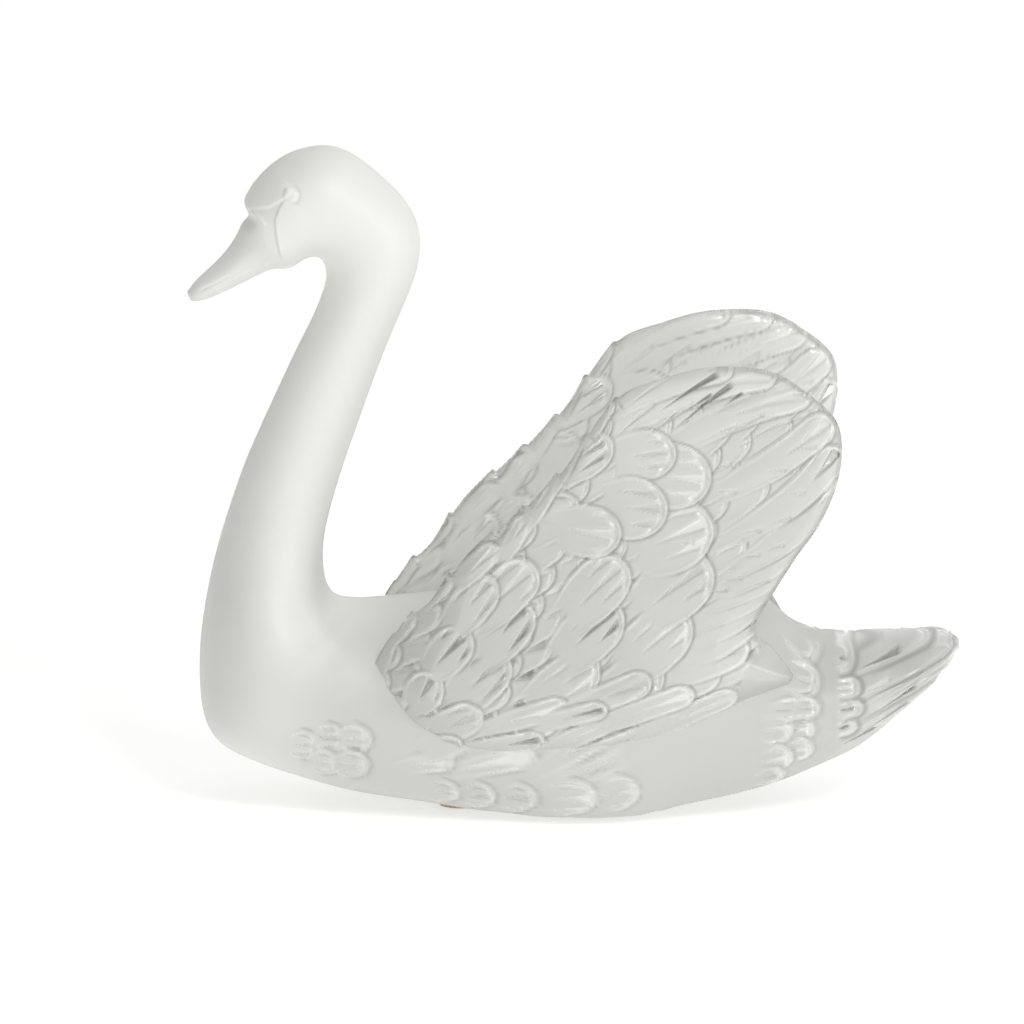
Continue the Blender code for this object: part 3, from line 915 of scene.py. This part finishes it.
def gap_to(tree, points):
    """Each point's distance to a surface, in millimetres, and the surface's nearest point."""
    distance = np.empty(len(points))
    nearest = np.empty((len(points), 3))
    for index, point in enumerate(points):
        found, _, _, away = tree.find_nearest(point)
        distance[index] = away / MM
        nearest[index] = found
    return distance, nearest


def inside_solid(tree, points):
    """Which points lie inside a closed surface: most of three rays leave it through their first face."""
    rays = (Vector((0.31, 0.9, 0.3)), Vector((-0.42, -0.8, 0.43)), Vector((0.6, 0.2, -0.77)))
    out = np.zeros(len(points), bool)
    for index, point in enumerate(points):
        leaving = 0
        for ray in rays:
            normal = tree.ray_cast(point, ray)[1]
            leaving += normal is not None and normal.dot(ray) > 0.0
        out[index] = leaving >= 2
    return out


def hide_faces(piece, hidden):
    """Gives the second material, the clear bond, to the faces whose corners are all hidden."""
    for face in piece.data.polygons:
        if all(hidden[index] for index in face.vertices):
            face.material_index = 1


def close_bonds(piece, trees):
    """Draws the rims at a bond together by half the gap each, and says which points are bonded."""
    points = points_of(piece)
    bonded = np.zeros(len(points), bool)
    apart = np.full(len(points), 1000.0)
    for tree in trees:
        distance, nearest = gap_to(tree, points)
        touching = distance < BOND_REACH
        points[touching] = (points[touching] + nearest[touching]) / 2.0
        bonded |= touching
        apart = np.minimum(apart, distance)
    move_points(piece, points)
    return bonded, apart


def finish_piece(piece, node, materials):
    for material in materials:
        piece.data.materials.append(material)
    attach(piece, "root")
    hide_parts(node)


# ---------------------------------------------------------------- studio

def make_floor():
    mesh = bmesh.new()
    bmesh.ops.create_circle(mesh, cap_ends=True, segments=96, radius=FLOOR_RADIUS)
    floor = new_piece("studio_floor", mesh)
    floor.data.materials.append(studio_floor())


def make_light(name, place, size, power):
    lamp = bpy.data.lights.new(name, "AREA")
    lamp.shape = "DISK"
    lamp.size = size
    lamp.energy = power
    made = bpy.data.objects.new(name, lamp)
    bpy.context.scene.collection.objects.link(made)
    made.location = place
    made.rotation_euler = (Vector(AIM) - Vector(place)).to_track_quat("-Z", "Y").to_euler()


def make_world():
    """A white cove before and behind, greyer to the left and right, so round shapes darken at their sides."""
    world = bpy.data.worlds.new("pale_studio")
    bpy.context.scene.world = world
    world.use_nodes = True
    tree = world.node_tree
    tree.nodes.clear()
    where = add_node(tree, "ShaderNodeTexCoord")
    parts = add_node(tree, "ShaderNodeSeparateXYZ", {}, {0: (where, "Generated")})
    across = {"From Min": -1.0, "From Max": 1.0}
    share = add_node(tree, "ShaderNodeMapRange", across, {"Value": (parts, "X")})
    ramp = add_node(tree, "ShaderNodeValToRGB", {}, {"Fac": (share, "Result")})
    ramp.color_ramp.elements[0].color = (WORLD_LEFT, WORLD_LEFT, WORLD_LEFT, 1.0)
    ramp.color_ramp.elements[1].color = (WORLD_RIGHT, WORLD_RIGHT, WORLD_RIGHT, 1.0)
    for place, light in WORLD_MIDDLE:
        ramp.color_ramp.elements.new(place).color = (light, light, light, 1.0)
    depth = add_node(
        tree,
        "ShaderNodeMapRange",
        {"From Min": -1.0, "From Max": 0.2, "To Min": 0.6, "To Max": 1.0},
        {"Value": (parts, "Y")},
    )
    links = {"Color": (ramp, "Color"), "Strength": (depth, "Result")}
    sky = add_node(tree, "ShaderNodeBackground", {}, links)
    add_node(tree, "ShaderNodeOutputWorld", {}, {"Surface": (sky, "Background")})


def make_camera():
    """A very long lens a long way off, so that the near and the far wing keep the same scale."""
    camera = bpy.data.cameras.new("camera")
    camera.lens = 900.0
    camera.sensor_width = 36.0
    made = bpy.data.objects.new("camera", camera)
    bpy.context.scene.collection.objects.link(made)
    target = Vector(CAMERA_TARGET)
    rise = math.radians(CAMERA_RISE)
    made.location = target + Vector((0.0, -math.cos(rise), math.sin(rise))) * CAMERA_AWAY
    made.rotation_euler = (target - made.location).to_track_quat("-Z", "Y").to_euler()
    bpy.context.scene.camera = made


# ---------------------------------------------------------------- the swan

def shape_hull(piece, apart):
    """Cuts the scales, lifts the back between the wings, and greys the hull under the neck and towards the
    rear with painted shade, standing in for the darker look of its thick glass, not real absorption.
    """
    points = points_of(piece) / MM
    normals = normals_of(piece)
    relief = hull_relief(points[:, 0], points[:, 2])
    facing = smooth_step(0.05, 0.25, np.abs(normals[:, 1])) * smooth_step(0.3, 3.0, apart)
    points = points + normals * (relief.height * facing)[:, None]
    rump = np.exp(-(((points[:, 0] - RUMP[0] * LONG) / RUMP[1]) ** 2)) * smooth_step(0.2, 0.8, normals[:, 2])
    points[:, 2] += RUMP[2] * rump * smooth_step(45.0, 58.0, points[:, 2])
    move_points(piece, points * MM)
    store_finish_and_painted_light(piece, relief, facing)
    x, z = points[:, 0] / LONG, points[:, 2] / TALL
    # Painted shade: the satin is greyed on the low breast under the neck and behind the front of the body,
    # more towards the rear, less on polished scales.
    under_neck = smooth_step(-120.0, -80.0, x) * smooth_step(66.0, 40.0, z)
    behind = np.maximum(smooth_step(-85.0, -58.0, x), under_neck)
    satin_painted_shade = (0.46 * behind + 0.26 * smooth_step(-60.0, 92.0, x)) * (1.0 - 0.9 * relief.polish_and_highlight * facing)
    piece.data.attributes["painted_shade"].data.foreach_set("value", np.maximum(relief.painted_shade * facing, satin_painted_shade))


def shape_tail(piece, apart):
    """Cuts the tail's blades, and turns it from satin at the bond to half polished, and so painted whiter as
    a highlight, at the tip.
    """
    points = points_of(piece) / MM
    normals = normals_of(piece)
    relief = tail_relief(points[:, 0], points[:, 2])
    facing = smooth_step(0.3, 3.0, apart)
    move_points(piece, (points + normals * ((relief.height - 0.5) * facing)[:, None]) * MM)
    relief.polish_and_highlight = np.maximum(relief.polish_and_highlight, 0.5 * smooth_step(2.0, 22.0, apart))
    relief.clear = np.maximum(relief.clear, 0.35 * smooth_step(2.0, 30.0, apart))
    store_finish_and_painted_light(piece, relief, facing)


def shape_head(piece):
    """Carves the eye, the lines of the face and the base of the bill."""
    points = points_of(piece) / MM
    normals = normals_of(piece)
    height = head_relief(points[:, 0], points[:, 2])
    facing = smooth_step(0.15, 0.5, np.abs(normals[:, 1]))
    height = height * facing + bill_base_relief(points[:, 0], points[:, 2])
    move_points(piece, (points + normals * height[:, None]) * MM)
    store_finish_and_painted_light(piece, Relief(*points[:, (0, 2)].T), 1.0)


def make_pad(name, node):
    """A cork disc of the frame's size, with its rims just broken."""
    low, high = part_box(node)
    mesh = bmesh.new()
    thickness = high.z - low.z
    bmesh.ops.create_cone(
        mesh,
        cap_ends=True,
        segments=64,
        radius1=(high.x - low.x) / 2.0,
        radius2=(high.x - low.x) / 2.0,
        depth=thickness,
    )
    bmesh.ops.translate(mesh, vec=(low + high) / 2.0, verts=mesh.verts)
    rims = [edge for edge in mesh.edges if edge.calc_face_angle() > 0.7]
    bmesh.ops.bevel(mesh, geom=rims, offset=0.25 * MM, segments=3, profile=0.5, affect="EDGES", material=-1)
    return new_piece(name, mesh)


# Acid-etched lead crystal: milky and softly glowing, with a frosted grain and a wide dull highlight.
satin = crystal("lead_crystal_acid_etched", "#f6f6f2")
# Pressed and cut lead crystal: a satin ground tinted greyer than the body's, painted shade for the wings' and
# tail's darker look, with collars and wedge cuts polished, clear and painted whiter as a highlight.
cut = crystal("lead_crystal_cut_and_polished", "#d7d8d3")
bond = bonded_face()
cork = pressed_cork()

body_tree = solid_tree(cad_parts["body"])
neck_tree = solid_tree(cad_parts["neck_and_head"])
tail_tree = solid_tree(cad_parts["tail"])

body = casting_from_frame("body_casting", "body", 3, [neck_tree, tail_tree])
neck = casting_from_frame("neck_and_head_casting", "neck_and_head", 2, [body_tree])
refine_head(neck)
tail = casting_from_frame("tail_casting", "tail", 3, [body_tree])
wing_left = make_wing("wing_left_casting", -1, PRIMARY_STREAKS)
wing_right = make_wing("wing_right_casting", 1, ())

round_end(neck, -1, BILL_ROUND_START * LONG)
round_end(tail, 1, TAIL_ROUND_START * LONG)

body_bonded, body_apart = close_bonds(body, [neck_tree, tail_tree])
neck_bonded, _ = close_bonds(neck, [body_tree])
tail_bonded, tail_apart = close_bonds(tail, [body_tree])
shape_hull(body, body_apart)
shape_tail(tail, tail_apart)
shape_head(neck)

finish_piece(body, "body", (satin, bond))
finish_piece(neck, "neck_and_head", (satin, bond))
finish_piece(tail, "tail", (cut, bond))
hide_faces(neck, neck_bonded)
hide_faces(tail, tail_bonded)
for piece, node in ((wing_left, "wing_left"), (wing_right, "wing_right")):
    finish_piece(piece, node, (cut, bond))
    body_bonded |= inside_solid(solid_tree(piece), points_of(body))
    hide_faces(piece, inside_solid(body_tree, points_of(piece)))
hide_faces(body, body_bonded)

for place in ("front_left", "front_right", "rear_left", "rear_right"):
    pad = make_pad(f"pad_{place}_disc", f"pad_{place}")
    finish_piece(pad, f"pad_{place}", (cork,))

make_world()
make_floor()
make_light("front_softbox", (0.7, -1.6, 1.5), 0.6, 12.5)
make_light("side_strip", (1.6, -1.1, 0.5), 0.3, 7.0)
make_camera()
bpy.context.scene.view_settings.view_transform = "Standard"
